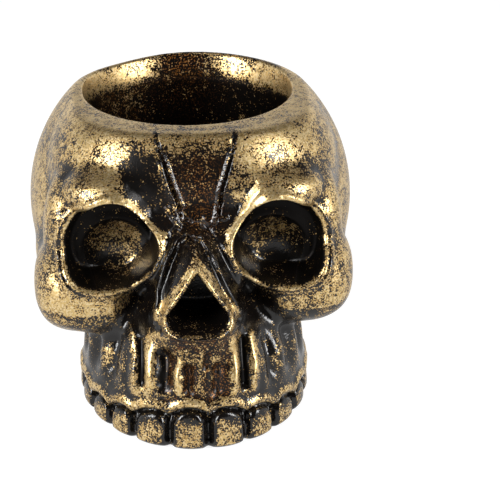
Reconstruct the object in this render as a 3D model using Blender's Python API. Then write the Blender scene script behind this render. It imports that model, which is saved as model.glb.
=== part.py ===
"""A skull candle holder, cast in resin as one piece.

The skull stands on a flat foot, faces -Y and has no lower jaw. A round cup for a candle
opens through the top of its head. The casting is modelled as clay: lumps are laid over each
other and blended, the face is carved into them, and the cup is bored last.
"""

import math

import bmesh
import bpy
import numpy as np
from mathutils import Matrix

# Cup for the candle, and the lip around it
CUP_RADIUS = 0.0210
CUP_DEPTH = 0.0220
CUP_CENTRE_Y = 0.0040
CUP_CORNER = 0.0020
CUP_SEGMENTS = 72
LIP_HEIGHT = 0.0575
LIP_ROUNDING = 0.0010
LIP_SAG = 0.0008
LIP_SAG_AT = (-0.0150, 0.0240)
LIP_SAG_REACH = 0.0110

# Braincase
CRANIUM_HALF_WIDTH = 0.0329
CRANIUM_HALF_LENGTH = 0.0328
CRANIUM_HALF_HEIGHT = 0.0325
CRANIUM_CENTRE_X = 0.0004
CRANIUM_CENTRE_Y = 0.0042
CRANIUM_CENTRE_Z = 0.0348

# Foot under the braincase, which the flat base is cut from
FOOT_HALF_WIDTH = 0.0225
FOOT_HALF_LENGTH = 0.0240
FOOT_HALF_HEIGHT = 0.0190
FOOT_CENTRE_Y = 0.0040
FOOT_CENTRE_Z = 0.0120

# Forehead, broad and a little square
FOREHEAD_HALF_WIDTH = 0.0290
FOREHEAD_DEPTH = 0.0248
FOREHEAD_HALF_HEIGHT = 0.0207
FOREHEAD_CENTRE_X = 0.0006
FOREHEAD_CENTRE_Y = -0.0030
FOREHEAD_CENTRE_Z = 0.0428
FOREHEAD_BOXINESS = 2.5

# Upper face and cheekbones
FACE_HALF_WIDTH = 0.0292
FACE_DEPTH = 0.0215
FACE_HALF_HEIGHT = 0.0170
FACE_CENTRE_Y = -0.0100
FACE_CENTRE_Z = 0.0350
CHEEK_OFFSET_X = 0.0196
CHEEK_HALF_WIDTH = 0.0118
CHEEK_HALF_LENGTH = 0.0118
CHEEK_HALF_HEIGHT = 0.0096
CHEEK_CENTRE_Y = -0.0186
CHEEK_CENTRE_Z = 0.0262
CHEEK_BOXINESS = 2.7
RIGHT_CHEEK_LIFT = 0.0014
CHEEK_HOLLOW_AT = (0.0124, 0.0246)
CHEEK_HOLLOW_RADIUS = 0.0032
CHEEK_HOLLOW_DEPTH = 0.0022
ARCH_HALF_LENGTH = 0.0180
ARCH_HALF_HEIGHT = 0.0044

# Eye sockets
EYE_OFFSET_X = 0.0159
EYE_CENTRE_Z = 0.0371
EYE_HALF_WIDTH = 0.0098
EYE_HALF_HEIGHT = 0.0096
EYE_SQUARENESS = 2.9
EYE_FROWN_ANGLE = math.radians(39.5)
EYE_FROWN_CUT = 0.0086
EYE_LOWER_ANGLE = math.radians(-32)
EYE_LOWER_CUT = 0.0081
EYE_TEMPLE_ANGLE = math.radians(47)
EYE_TEMPLE_CUT = 0.0082
EYE_FLOOR_Y = -0.0205
EYE_BOWL_CENTRE_X = 0.0152
EYE_BOWL_CENTRE_Z = 0.0341
EYE_BOWL_RADIUS = 0.0066
EYE_BOWL_DEPTH = 0.0029
EYE_MOAT = 0.0016
EYE_MOAT_WIDTH = 0.0018
EYE_WALL = 0.0018
EYE_RIM_RISE = 0.0010
EYE_RIM_WIDTH = 0.0010

# Nose
NOSE_HALF_WIDTH = 0.0092
NOSE_HALF_LENGTH = 0.0150
NOSE_PROJECTION = 0.0085
NOSE_CENTRE_Y = -0.0315
NOSE_CENTRE_Z = 0.0285
NOSE_LEAN = math.radians(24)
NOSTRIL_CENTRE_X = 0.0004
NOSTRIL_CENTRE_Z = 0.0280
NOSTRIL_SIDE_ANGLE = math.radians(34)
NOSTRIL_SIDE = 0.0043
NOSTRIL_BOTTOM = 0.0037
NOSTRIL_ROUNDING = 1.9
NOSTRIL_FLOOR_Y = -0.0280
NOSTRIL_WALL = 0.0012
NOSTRIL_RIM_RISE = 0.0008
NOSTRIL_RIM_WIDTH = 0.0010
NOSE_CHANNEL_TOP = (0.0022, 0.0405)
NOSE_CHANNEL_FOOT = (0.0105, 0.0262)
NOSE_CHANNEL_WIDTH = 0.0017
NOSE_CHANNEL_DEPTH = 0.0019

# Upper jaw with its teeth
JAW_HALF_WIDTH = 0.0231
JAW_DEPTH = 0.0296
JAW_CENTRE_Y = -0.0130
JAW_SHOULDER = 0.0165
JAW_SHOULDER_SHARE = 0.95
JAW_TOP = 0.0270
JAW_TOP_SHARE = 0.70
GUM_HEIGHT = 0.0082
GUM_HEIGHT_AT_SIDE = 0.0048
GUM_SCALLOP = 0.0012
GUM_RISE = 0.0007
TOOTH_GAPS = (-98, -82, -66, -50, -35, -15.5, 4.4, 24.2, 41.1, 58, 74, 90, 104)
TOOTH_GAP = 0.0008
TOOTH_GAP_DEPTH = 0.0020
TOOTH_TIP = 0.0012
ROOT_CENTRE_Z = 0.0150
ROOT_HALF_HEIGHT = 0.0046
ROOT_HALF_WIDTH = 0.0015
ROOT_DEPTH = 0.0017

# Cracks in the forehead, as points (x, z) seen from the front
CRACKS = (
    (
        (-0.0074, 0.0590),
        (-0.0067, 0.0546),
        (-0.0052, 0.0523),
        (-0.0043, 0.0501),
        (-0.0027, 0.0471),
        (-0.0028, 0.0443),
        (-0.0020, 0.0423),
    ),
    (
        (0.0083, 0.0590),
        (0.0084, 0.0555),
        (0.0077, 0.0534),
        (0.0059, 0.0510),
        (0.0047, 0.0488),
        (0.0040, 0.0463),
        (0.0037, 0.0435),
        (0.0024, 0.0418),
    ),
)
CRACK_WIDTH = 0.00045
CRACK_DEPTH = 0.0008

# How finely the clay is worked, and what is left of it
CLAY_GRAIN = 0.0008
CLAY_BLEND = 24
CARVED_GRAIN = 0.0005
CARVED_BLEND = 2
FACETS = 11000
BELOW_BASE = 0.003


def clear_scene():
    for obj in list(bpy.data.objects):
        bpy.data.objects.remove(obj)


def new_object(name, bm):
    mesh = bpy.data.meshes.new(name)
    bm.to_mesh(mesh)
    bm.free()
    obj = bpy.data.objects.new(name, mesh)
    bpy.context.scene.collection.objects.link(obj)
    return obj


def apply_modifiers(obj):
    """The object's own mesh becomes what its modifiers make of it."""
    graph = bpy.context.evaluated_depsgraph_get()
    finished = bpy.data.meshes.new_from_object(obj.evaluated_get(graph))
    obj.modifiers.clear()
    obj.data = finished


def add_lump(bm, centre, radii, lean=0.0, boxiness=2.0):
    """An ellipsoid of clay leant about X. A boxiness over 2 squares it up."""
    matrix = (
        Matrix.Translation(centre) @ Matrix.Rotation(lean, 4, "X") @ Matrix.Diagonal((*radii, 1.0))
    )
    ball = bmesh.ops.create_icosphere(bm, subdivisions=5, radius=1.0)
    for vert in ball["verts"]:
        vert.co /= sum(abs(number) ** boxiness for number in vert.co) ** (1 / boxiness)
        vert.co = matrix @ vert.co


def add_braincase(bm):
    add_lump(
        bm,
        (CRANIUM_CENTRE_X, CRANIUM_CENTRE_Y, CRANIUM_CENTRE_Z),
        (CRANIUM_HALF_WIDTH, CRANIUM_HALF_LENGTH, CRANIUM_HALF_HEIGHT),
    )
    add_lump(
        bm,
        (0, FOOT_CENTRE_Y, FOOT_CENTRE_Z),
        (FOOT_HALF_WIDTH, FOOT_HALF_LENGTH, FOOT_HALF_HEIGHT),
    )


def add_face(bm):
    add_lump(
        bm,
        (0, FACE_CENTRE_Y, FACE_CENTRE_Z),
        (FACE_HALF_WIDTH, FACE_DEPTH, FACE_HALF_HEIGHT),
    )
    add_lump(
        bm,
        (FOREHEAD_CENTRE_X, FOREHEAD_CENTRE_Y, FOREHEAD_CENTRE_Z),
        (FOREHEAD_HALF_WIDTH, FOREHEAD_DEPTH, FOREHEAD_HALF_HEIGHT),
        boxiness=FOREHEAD_BOXINESS,
    )
    for side in (-1, 1):
        lift = RIGHT_CHEEK_LIFT if side > 0 else 0
        cheek = (side * CHEEK_OFFSET_X, CHEEK_CENTRE_Y, CHEEK_CENTRE_Z + lift)
        cheek_size = (CHEEK_HALF_WIDTH, CHEEK_HALF_LENGTH, CHEEK_HALF_HEIGHT)
        add_lump(bm, cheek, cheek_size, boxiness=CHEEK_BOXINESS)
        eye_side = (side * (EYE_OFFSET_X + EYE_HALF_WIDTH - 0.0008), -0.0180, EYE_CENTRE_Z)
        add_lump(bm, eye_side, (0.0046, 0.0072, 0.0125))
        brow = (side * 0.0142, -0.0221, 0.0466)
        add_lump(bm, brow, (0.0108, 0.0070, 0.0048))
        arch = (side * 0.0270, -0.0040, CHEEK_CENTRE_Z + 0.0015)
        add_lump(bm, arch, (0.0046, ARCH_HALF_LENGTH, ARCH_HALF_HEIGHT))


def add_nose(bm):
    add_lump(
        bm,
        (0, NOSE_CENTRE_Y, NOSE_CENTRE_Z),
        (NOSE_HALF_WIDTH, NOSE_PROJECTION, NOSE_HALF_LENGTH),
        lean=-NOSE_LEAN,
    )


def add_jaw(bm):
    """An oval drum that narrows a little, and a shoulder on it that leans in to the face."""
    for bottom, top, low_share, high_share in (
        (-BELOW_BASE, JAW_SHOULDER, 1.0, JAW_SHOULDER_SHARE),
        (JAW_SHOULDER, JAW_TOP, JAW_SHOULDER_SHARE, JAW_TOP_SHARE),
    ):
        matrix = Matrix.Translation((0, JAW_CENTRE_Y, (bottom + top) / 2)) @ Matrix.Diagonal(
            (JAW_HALF_WIDTH, JAW_DEPTH, top - bottom, 1.0)
        )
        bmesh.ops.create_cone(
            bm,
            cap_ends=True,
            segments=96,
            radius1=low_share,
            radius2=high_share,
            depth=1.0,
            matrix=matrix,
        )


def blend(obj, grain, rounds):
    """The lumps become one skin of even quads, and its creases are smoothed."""
    remesh = obj.modifiers.new("skin", "REMESH")
    remesh.mode = "VOXEL"
    remesh.voxel_size = grain
    smooth = obj.modifiers.new("smooth", "SMOOTH")
    smooth.factor = 0.5
    smooth.iterations = int(rounds)
    apply_modifiers(obj)


def cut_flat(obj, height, side):
    """Cuts off what lies above (side 1) or below (side -1) a height, and closes the cut."""
    bm = bmesh.new()
    bm.from_mesh(obj.data)
    cut = bmesh.ops.bisect_plane(
        bm,
        geom=bm.verts[:] + bm.edges[:] + bm.faces[:],
        plane_co=(0, 0, height),
        plane_no=(0, 0, side),
        clear_outer=True,
    )["geom_cut"]
    rim = [item for item in cut if isinstance(item, bmesh.types.BMEdge)]
    bmesh.ops.contextual_create(bm, geom=rim)
    bmesh.ops.triangulate(bm, faces=[face for face in bm.faces if len(face.verts) > 4])
    bm.to_mesh(obj.data)
    bm.free()


def rise(value):
    """0 up to 0, 1 from 1, and smooth between."""
    share = np.clip(value, 0.0, 1.0)
    return share * share * (3.0 - 2.0 * share)


def ridge(distance, width):
    return np.exp(-((distance / width) ** 2))


def eye_edge(x, z, side):
    """How far points lie outside the outline of one eye socket, seen from the front."""
    across = side * x - EYE_OFFSET_X
    up = z - EYE_CENTRE_Z
    power = EYE_SQUARENESS
    around = (
        np.abs(across / EYE_HALF_WIDTH) ** power + np.abs(up / EYE_HALF_HEIGHT) ** power
    ) ** (1 / power)
    frown = (-across * math.cos(EYE_FROWN_ANGLE) + up * math.sin(EYE_FROWN_ANGLE)) / EYE_FROWN_CUT
    lower = (-across * math.cos(EYE_LOWER_ANGLE) + up * math.sin(EYE_LOWER_ANGLE)) / EYE_LOWER_CUT
    temple = (across * math.cos(EYE_TEMPLE_ANGLE) + up * math.sin(EYE_TEMPLE_ANGLE)) / EYE_TEMPLE_CUT
    rounding = 9
    whole = (
        around**rounding
        + np.clip(frown, 0, None) ** rounding
        + np.clip(lower, 0, None) ** rounding
        + np.clip(temple, 0, None) ** rounding
    ) ** (1 / rounding)
    return (whole - 1) * (EYE_HALF_WIDTH + EYE_HALF_HEIGHT) / 2


def push(points, amount):
    """Moves points outwards, away from the upright line through the middle of the head."""
    reach = np.hypot(points[:, 0], points[:, 1]) + 1e-9
    points[:, 0] += amount * points[:, 0] / reach
    points[:, 1] += amount * points[:, 1] / reach


def carve_eyes(points):
    front = points[:, 1] < -0.008
    for side in (-1, 1):
        x, y, z = points.T
        edge = eye_edge(x, z, side)
        out = np.hypot(side * x - EYE_BOWL_CENTRE_X, z - EYE_BOWL_CENTRE_Z)
        bowl = EYE_FLOOR_Y - EYE_BOWL_DEPTH * np.minimum(out / EYE_BOWL_RADIUS, 1) ** 2
        bowl += EYE_MOAT * rise((out - EYE_BOWL_RADIUS) / EYE_MOAT_WIDTH)
        share = np.where(front, rise(-edge / EYE_WALL), 0)
        y += share * (np.maximum(bowl, y) - y)
        rim = EYE_RIM_RISE * ridge(edge - EYE_RIM_WIDTH, EYE_RIM_WIDTH)
        push(points, np.where(front, rim, 0))


def line_distance(x, z, corners):
    """How far points lie from a line drawn through corners, seen from the front."""
    nearest = np.full(x.shape, np.inf)
    for (x1, z1), (x2, z2) in zip(corners, corners[1:]):
        along_x, along_z = x2 - x1, z2 - z1
        share = ((x - x1) * along_x + (z - z1) * along_z) / (along_x**2 + along_z**2)
        share = np.clip(share, 0, 1)
        nearest = np.minimum(nearest, np.hypot(x - x1 - share * along_x, z - z1 - share * along_z))
    return nearest


def carve_head(points):
    front = points[:, 1] < -0.008
    x, y, z = points.T
    for corners in CRACKS:
        off = line_distance(x, z, corners)
        push(points, np.where(front, -CRACK_DEPTH * ridge(off, CRACK_WIDTH), 0))
    off = np.hypot(np.abs(x) - CHEEK_HOLLOW_AT[0], z - CHEEK_HOLLOW_AT[1])
    push(points, np.where(front, -CHEEK_HOLLOW_DEPTH * ridge(off, CHEEK_HOLLOW_RADIUS), 0))
    off = np.hypot(x - LIP_SAG_AT[0], y - LIP_SAG_AT[1])
    z -= LIP_SAG * ridge(off, LIP_SAG_REACH) * rise((z - LIP_HEIGHT + 0.0095) / 0.0080)


def nostril_edge(x, z):
    up = z - NOSTRIL_CENTRE_Z
    across = np.abs(x - NOSTRIL_CENTRE_X)
    slope = across * math.cos(NOSTRIL_SIDE_ANGLE) + up * math.sin(NOSTRIL_SIDE_ANGLE)
    rounding = NOSTRIL_ROUNDING
    whole = (
        np.clip(slope / NOSTRIL_SIDE, 0, None) ** rounding
        + np.clip(-up / NOSTRIL_BOTTOM, 0, None) ** rounding
    ) ** (1 / rounding)
    return (whole - 1) * (NOSTRIL_SIDE + NOSTRIL_BOTTOM) / 2


def carve_nose(points):
    front = points[:, 1] < -0.020
    x, z = points[:, 0], points[:, 2]
    off = line_distance(np.abs(x), z, (NOSE_CHANNEL_TOP, NOSE_CHANNEL_FOOT))
    points[:, 1] += np.where(front, NOSE_CHANNEL_DEPTH * ridge(off, NOSE_CHANNEL_WIDTH), 0)

    edge = nostril_edge(x, z)
    rim = NOSTRIL_RIM_RISE * ridge(edge - NOSTRIL_RIM_WIDTH, NOSTRIL_RIM_WIDTH)
    points[:, 1] -= np.where(front, rim, 0)
    share = np.where(front, rise(-edge / NOSTRIL_WALL), 0)
    points[:, 1] += share * (NOSTRIL_FLOOR_Y - points[:, 1])


def carve_teeth(points):
    x, y, z = points.T
    angle = np.arctan2(x / JAW_HALF_WIDTH, (JAW_CENTRE_Y - y) / JAW_DEPTH)
    radius = np.hypot(x / JAW_HALF_WIDTH, (y - JAW_CENTRE_Y) / JAW_DEPTH)
    gaps = np.radians(TOOTH_GAPS)
    on_jaw = (radius > 0.80) & (z < JAW_TOP) & (np.abs(angle) < math.radians(112))
    place = np.interp(angle, gaps, np.arange(len(gaps)))
    pitch = JAW_HALF_WIDTH * np.interp(angle, (gaps[1:] + gaps[:-1]) / 2, np.diff(gaps))
    from_gap = np.abs(place - np.round(place)) * pitch
    sideways = rise(np.abs(angle) / math.radians(65))
    gum = GUM_HEIGHT + sideways * (GUM_HEIGHT_AT_SIDE - GUM_HEIGHT)
    gum = gum + GUM_SCALLOP * np.sin(math.pi * from_gap / pitch)

    below = rise((gum - z) / 0.0010 + 0.5)
    gap = TOOTH_GAP_DEPTH * ridge(from_gap, TOOTH_GAP) * below
    crown = 0.0005 * below
    line = 0.0007 * ridge(z - gum, 0.0006)
    tip = 0.0010 * np.clip(1 - z / TOOTH_TIP, 0, 2) ** 2
    band = GUM_RISE * ridge(z - gum - 0.0015, 0.0010)
    tall = (z - ROOT_CENTRE_Z) / ROOT_HALF_HEIGHT
    hollow = ROOT_DEPTH * np.exp(-((from_gap / ROOT_HALF_WIDTH) ** 2 + tall**4))
    inward = np.where(on_jaw, gap + crown + line + tip + hollow - band, 0)
    points[:, 0] -= inward * np.sin(angle)
    points[:, 1] += inward * np.cos(angle)


def carve_face(obj):
    count = len(obj.data.vertices)
    flat = np.empty(count * 3, np.float32)
    obj.data.vertices.foreach_get("co", flat)
    points = flat.reshape(-1, 3).astype(float)
    carve_head(points)
    carve_teeth(points)
    carve_nose(points)
    carve_eyes(points)
    obj.data.vertices.foreach_set("co", points.astype(np.float32).ravel())
    obj.data.update()


def thin_out(obj, facets):
    """Fewer, larger facets where the skin is flat."""
    triangles = sum(len(polygon.vertices) - 2 for polygon in obj.data.polygons)
    decimate = obj.modifiers.new("facets", "DECIMATE")
    decimate.ratio = min(1.0, facets / triangles)
    decimate.use_collapse_triangulate = True
    apply_modifiers(obj)


def cup_cutter():
    """A turned plug: the cup's floor with its rounded corner, its wall and the flare at the lip."""
    floor = LIP_HEIGHT - CUP_DEPTH
    outline = [(0.0, floor)]
    steps = 5
    for step in range(steps + 1):
        turn = math.pi / 2 * step / steps
        outline.append(
            (
                CUP_RADIUS - CUP_CORNER * (1 - math.sin(turn)),
                floor + CUP_CORNER * (1 - math.cos(turn)),
            )
        )
    for step in range(steps + 1):
        turn = math.pi / 2 * step / steps
        outline.append(
            (
                CUP_RADIUS + LIP_ROUNDING * (1 - math.cos(turn)),
                LIP_HEIGHT - LIP_ROUNDING * (1 - math.sin(turn)),
            )
        )
    outline.append((CUP_RADIUS + LIP_ROUNDING, LIP_HEIGHT + BELOW_BASE))
    outline.append((0.0, LIP_HEIGHT + BELOW_BASE))
    bm = bmesh.new()
    verts = [bm.verts.new((radius, CUP_CENTRE_Y, height)) for radius, height in outline]
    edges = [bm.edges.new(pair) for pair in zip(verts, verts[1:])]
    bmesh.ops.spin(
        bm,
        geom=verts + edges,
        cent=(0, CUP_CENTRE_Y, 0),
        axis=(0, 0, 1),
        angle=2 * math.pi,
        steps=CUP_SEGMENTS,
    )
    bmesh.ops.remove_doubles(bm, verts=bm.verts, dist=1e-6)
    bmesh.ops.recalc_face_normals(bm, faces=bm.faces)
    cutter = new_object("cup_cutter", bm)
    cutter.hide_render = True
    cutter.display_type = "WIRE"
    return cutter


def bore_cup(obj):
    cut = obj.modifiers.new("cup", "BOOLEAN")
    cut.operation = "DIFFERENCE"
    cut.object = cup_cutter()
    cut.solver = "EXACT"


def aged_gold():
    material = bpy.data.materials.new("aged_gold")
    material.use_nodes = True
    shader = material.node_tree.nodes["Principled BSDF"]
    shader.inputs["Base Color"].default_value = (0.42, 0.30, 0.13, 1)
    shader.inputs["Metallic"].default_value = 0.6
    shader.inputs["Roughness"].default_value = 0.35
    return material


def main():
    clear_scene()
    bm = bmesh.new()
    add_braincase(bm)
    add_face(bm)
    add_nose(bm)
    add_jaw(bm)
    skull = new_object("skull_holder", bm)
    blend(skull, CLAY_GRAIN, CLAY_BLEND)
    cut_flat(skull, LIP_HEIGHT, 1)
    blend(skull, CARVED_GRAIN, CARVED_BLEND)
    carve_face(skull)
    blend(skull, CARVED_GRAIN, CARVED_BLEND)
    thin_out(skull, FACETS)
    cut_flat(skull, 0.0, -1)
    bore_cup(skull)
    skull.data.materials.append(aged_gold())
    skull.data.shade_smooth()


main()
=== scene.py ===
"""Skull candle holder: the cast resin skull in gloss black, dry-brushed with antique gold.

The casting is worked up as clay is: lumps are joined and blended, the face is carved, the cup
is bored, and the fine cracks and creases come last. Three masks then say where the brush left
gold, where the brown wash shows and where the black under them is matt and mirrors nothing,
which in the sockets, the cup, the nose opening and the hollows between the roots is painted shade.
"""

import math

import bpy
import numpy as np
from bpy.props import FloatProperty, FloatVectorProperty, IntProperty, PointerProperty
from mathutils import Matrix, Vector


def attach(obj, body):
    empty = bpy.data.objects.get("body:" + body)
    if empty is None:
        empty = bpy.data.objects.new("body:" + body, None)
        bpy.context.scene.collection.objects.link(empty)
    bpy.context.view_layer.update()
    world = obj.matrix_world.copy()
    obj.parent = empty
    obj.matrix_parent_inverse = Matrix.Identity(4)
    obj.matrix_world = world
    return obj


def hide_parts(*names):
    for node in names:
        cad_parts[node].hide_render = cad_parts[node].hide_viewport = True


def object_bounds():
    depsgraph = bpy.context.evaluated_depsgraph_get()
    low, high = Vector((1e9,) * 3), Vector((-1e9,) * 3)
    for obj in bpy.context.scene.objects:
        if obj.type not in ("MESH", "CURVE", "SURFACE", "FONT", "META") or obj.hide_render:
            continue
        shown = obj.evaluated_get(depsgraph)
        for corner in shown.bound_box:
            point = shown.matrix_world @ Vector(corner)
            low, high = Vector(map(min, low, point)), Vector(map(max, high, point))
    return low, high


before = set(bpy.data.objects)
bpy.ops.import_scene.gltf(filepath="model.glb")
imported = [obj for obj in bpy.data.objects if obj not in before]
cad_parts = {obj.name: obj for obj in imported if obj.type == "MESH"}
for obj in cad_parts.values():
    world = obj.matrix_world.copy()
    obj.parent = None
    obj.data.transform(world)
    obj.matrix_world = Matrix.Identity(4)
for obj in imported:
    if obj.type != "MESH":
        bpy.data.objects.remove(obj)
CAD_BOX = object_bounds()

bl_info = {
    "name": "Skull Candle Holder",
    "version": (1, 0, 0),
    "blender": (4, 5, 0),
    "location": "View3D > Sidebar > Skull Holder",
    "description": "Models, paints and lights a cast skull with a cup for a candle in its head",
    "category": "Object",
}

NODE = "skull_holder"

# The face lies in front of this, and its nose and jaw in front of the next
FACE_Y = -0.008
NOSE_Y = -0.020

# Rounds of smoothing: on the clay, before the carving, after the bore and after the strokes
CLAY_ROUNDS = 61
CARVING_ROUNDS = 13
BORED_ROUNDS = 3
STROKE_ROUNDS = 1
SMOOTHING = 0.5
STROKE_SMOOTHING = 0.3
CARVING_GRAIN_SHARE = 0.9
SHARP_EDGE = math.radians(65)

# Cup and lip. What lies nearer to the cup's axis than CUP_OUTSIDE, and over CUP_BELOW, is in the cup
CUP_CENTRE_Y = 0.0040
CUP_OUTSIDE = 0.0226
CUP_BELOW = 0.030
CUP_CORNER = 0.0020
MOUTH_FLARE = 0.0016
MOUTH_DEPTH = 0.0065
LIP_ROUNDING = 0.0003
LIP_SAG = 0.0008
LIP_SAG_AT = (-0.0150, 0.0240)
LIP_SAG_REACH = 0.0110

# Lumps of clay: centre, half sizes, lean in degrees and boxiness. A lump named for one side
# of the head is laid again on the other.
MIDDLE_LUMPS = {
    "braincase": ((0.0004, 0.0042, 0.0348), (0.0329, 0.0328, 0.0325), 0, 2.0),
    "foot": ((0, 0.0040, 0.0120), (0.0225, 0.0240, 0.0190), 0, 2.0),
    "face": ((0, -0.0100, 0.0350), (0.0292, 0.0215, 0.0170), 0, 2.0),
    "forehead": ((0.0006, -0.0030, 0.0428), (0.0290, 0.0248, 0.0207), 0, 2.5),
    "nose": ((0, -0.0315, 0.0285), (0.0092, 0.0085, 0.0150), -24, 2.0),
}
SIDE_LUMPS = {
    "cheek": ((0.0196, -0.0186, 0.0262), (0.0118, 0.0118, 0.0096), 0, 2.7),
    "eye_side": ((0.0247, -0.0180, 0.0362), (0.0046, 0.0072, 0.0125), 0, 2.0),
    "brow": ((0.0142, -0.0221, 0.0466), (0.0108, 0.0070, 0.0048), 0, 2.0),
    "arch": ((0.0270, -0.0040, 0.0277), (0.0046, 0.0180, 0.0044), 0, 2.0),
}
RIGHT_CHEEK_LIFT = 0.0014
CHEEK_HOLLOW_AT = (0.0124, 0.0246)
CHEEK_HOLLOW_RADIUS = 0.0032
CHEEK_HOLLOW_DEPTH = 0.0022

# Eye sockets. Three straight cuts trim the squared oval: how far out, which way across and
# how steep in degrees
EYE_OFFSET_X = 0.0155
EYE_CENTRE_Z = 0.0379
EYE_HALF_WIDTH = 0.0094
EYE_HALF_HEIGHT = 0.0089
EYE_SQUARENESS = 3.4
EYE_CUTS = ((0.0077, -1, 39.5), (0.0080, -1, -32), (0.0080, 1, 47))
EYE_FLOOR_Y = -0.0205
EYE_BOWL_CENTRE = (0.0152, 0.0341)
EYE_BOWL_RADIUS = 0.0069
EYE_BOWL_DEPTH = 0.0029
EYE_MOAT = 0.0013
EYE_WALL = 0.0013
EYE_RIM_RISE = 0.0010
EYE_RIM_WIDTH = 0.0008

# Nose
NOSTRIL_CENTRE_Z = 0.0280
NOSTRIL_CENTRE_X = -0.0001
NOSTRIL_SIDE_ANGLE = math.radians(35.5)
NOSTRIL_SIDE = 0.0044
NOSTRIL_BOTTOM = 0.0037
NOSTRIL_ROUNDING = 1.9
NOSTRIL_FLOOR_Y = -0.0280
NOSTRIL_WALL = 0.0012
NOSTRIL_RIM_RISE = 0.0008
NOSTRIL_RIM_WIDTH = 0.0010
NOSE_CHANNEL = ((0.0022, 0.0405), (0.0105, 0.0262))
NOSE_CHANNEL_WIDTH = 0.0017
NOSE_CHANNEL_DEPTH = 0.0019

# Upper jaw
JAW_HALF_WIDTH = 0.0231
JAW_DEPTH = 0.0293
JAW_CENTRE_Y = -0.0130
JAW_SHOULDER = 0.0152
JAW_SHOULDER_SHARE = 0.95
JAW_TOP = 0.0270
JAW_TOP_SHARE = 0.70
GUM_HEIGHT = 0.0082
GUM_HEIGHT_AT_SIDE = 0.0048
GUM_SCALLOP = 0.0012
GUM_RISE = 0.0007
TOOTH_GAPS = (-98, -82, -66, -50, -35, -15.5, 4.4, 24.2, 41.1, 58, 74, 90, 104)
TOOTH_GAP_DEPTH = 0.0019
TOOTH_ROUNDING = 3.2
TOOTH_TIP = 0.0012
ROOT_CENTRE_Z = 0.0150
ROOT_HALF_HEIGHT = 0.0046
ROOT_DEPTH = 0.0017
ROOTS_FROM = math.radians(34)
JAW_END = math.radians(112)
TEETH_END = math.radians(110)
BELOW_BASE = 0.003

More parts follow.
